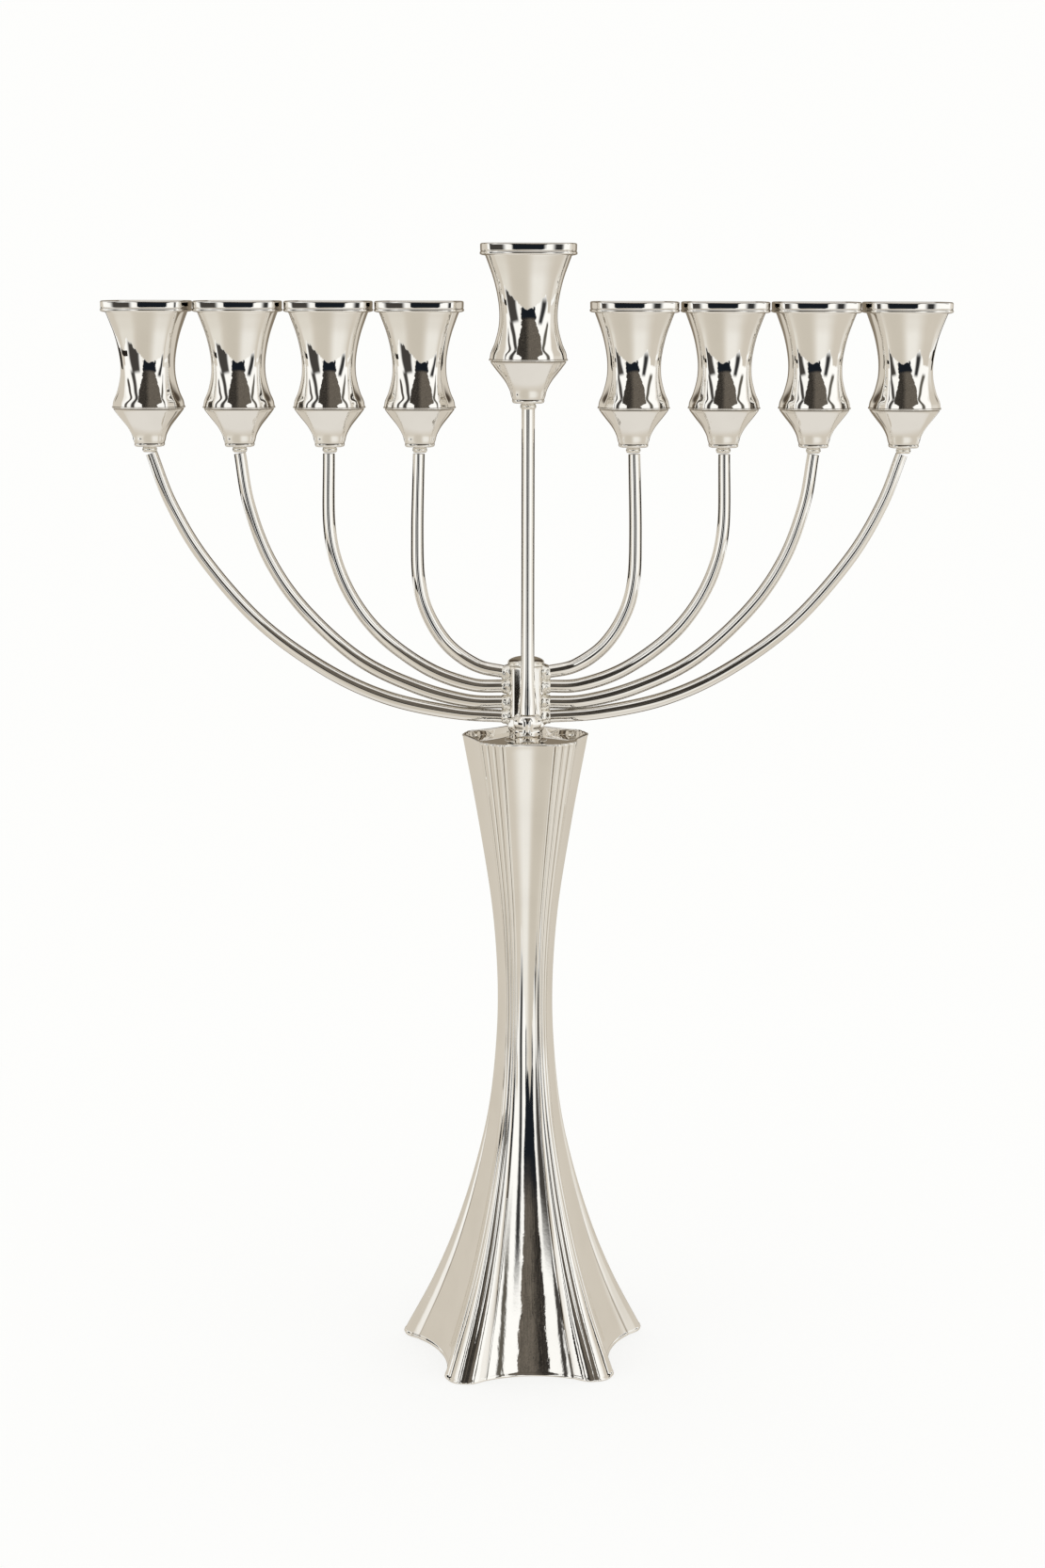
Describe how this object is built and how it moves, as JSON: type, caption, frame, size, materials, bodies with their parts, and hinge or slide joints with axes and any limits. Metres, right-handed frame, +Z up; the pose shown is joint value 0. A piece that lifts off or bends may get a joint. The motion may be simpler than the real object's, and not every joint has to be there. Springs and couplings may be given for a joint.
{
  "type": "menorah",
  "caption": "Branched silver Hanukkah menorah: a fluted hourglass column on a lobed foot, curved round arms carrying squared flared cups in a row, and a raised lift-out shamash in front.",
  "frame": {"origin": "on the surface it stands on, under the middle of the whole object seen from above", "axes": "+Z up, front (the shamash side) towards -Y, the row of cups along X"},
  "size_m": [0.3374, 0.1, 0.46],
  "materials": {
    "silver_body": "mirror-polished silver",
    "silver_rod": "polished silver rod, finely hand-filed",
    "silver_cup": "mirror-polished silver sheet",
    "steel_fastening": "plain machined steel"
  },
  "bodies": {
    "candelabrum": {"column_shell": "silver_body", "top_plate": "silver_body", "base_plate": "silver_body", "tie_rod": "steel_fastening", "tie_rod_washer": "steel_fastening", "tie_rod_nut": "steel_fastening", "hub_foot": "silver_body", "hub": "silver_body", "hub_cap": "silver_body", "shamash_socket": "silver_body", "arm_left_1": "silver_rod", "arm_left_2": "silver_rod", "arm_left_3": "silver_rod", "arm_left_4": "silver_rod", "arm_right_1": "silver_rod", "arm_right_2": "silver_rod", "arm_right_3": "silver_rod", "arm_right_4": "silver_rod", "cup_left_1_body": "silver_cup", "cup_left_1_rim": "silver_cup", "cup_left_1_calyx": "silver_cup", "cup_left_1_ferrule": "silver_cup", "cup_left_2_body": "silver_cup", "cup_left_2_rim": "silver_cup", "cup_left_2_calyx": "silver_cup", "cup_left_2_ferrule": "silver_cup", "cup_left_3_body": "silver_cup", "cup_left_3_rim": "silver_cup", "cup_left_3_calyx": "silver_cup", "cup_left_3_ferrule": "silver_cup", "cup_left_4_body": "silver_cup", "cup_left_4_rim": "silver_cup", "cup_left_4_calyx": "silver_cup", "cup_left_4_ferrule": "silver_cup", "cup_right_1_body": "silver_cup", "cup_right_1_rim": "silver_cup", "cup_right_1_calyx": "silver_cup", "cup_right_1_ferrule": "silver_cup", "cup_right_2_body": "silver_cup", "cup_right_2_rim": "silver_cup", "cup_right_2_calyx": "silver_cup", "cup_right_2_ferrule": "silver_cup", "cup_right_3_body": "silver_cup", "cup_right_3_rim": "silver_cup", "cup_right_3_calyx": "silver_cup", "cup_right_3_ferrule": "silver_cup", "cup_right_4_body": "silver_cup", "cup_right_4_rim": "silver_cup", "cup_right_4_calyx": "silver_cup", "cup_right_4_ferrule": "silver_cup"},
    "shamash": {"shamash_rod": "silver_rod", "shamash_cup_body": "silver_cup", "shamash_cup_rim": "silver_cup", "shamash_cup_calyx": "silver_cup", "shamash_cup_ferrule": "silver_cup"}
  },
  "joints": [
    {"name": "shamash_lift", "type": "slide", "parent": "candelabrum", "child": "shamash", "axis": [0, 0, 1], "range_m": [0, 0.05]}
  ]
}
